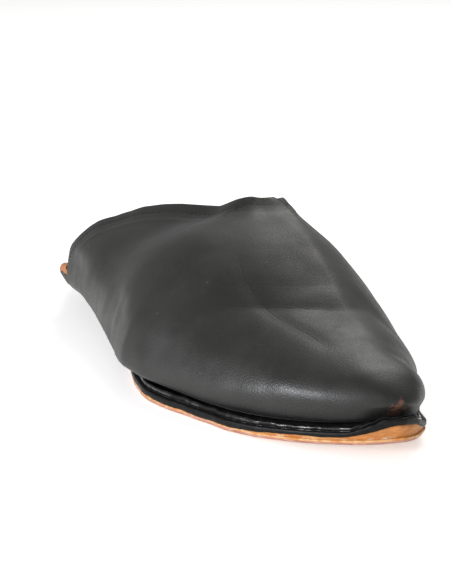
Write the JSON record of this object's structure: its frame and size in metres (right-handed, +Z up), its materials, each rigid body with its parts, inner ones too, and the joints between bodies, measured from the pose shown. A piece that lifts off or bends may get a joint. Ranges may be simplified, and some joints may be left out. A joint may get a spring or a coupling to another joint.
{
  "type": "babouche slipper",
  "caption": "Soft black leather slipper with a pointed toe, low open back trodden flat and a thin flat two-ply leather sole.",
  "frame": {"origin": "middle of the bounding box's bottom face, on the floor", "axes": "+X from heel to toe along the sole, +Y to the medial side, +Z up"},
  "size_m": [0.275, 0.1054, 0.064],
  "materials": {
    "black_leather": "smooth, semi-matt, softly creased",
    "waxed_rand": "black wax, uneven, glossy",
    "tan_leather": "cut edge, dry, orange tan",
    "sole_leather": "cut edge and grain, dry, pinkish brown",
    "sock_leather": "smooth, dry"
  },
  "bodies": {
    "root": {"outsole": "sole_leather", "midsole": "tan_leather", "rand": "waxed_rand", "insole": "sock_leather", "upper": "black_leather", "back_quarter": "black_leather"}
  },
  "joints": []
}
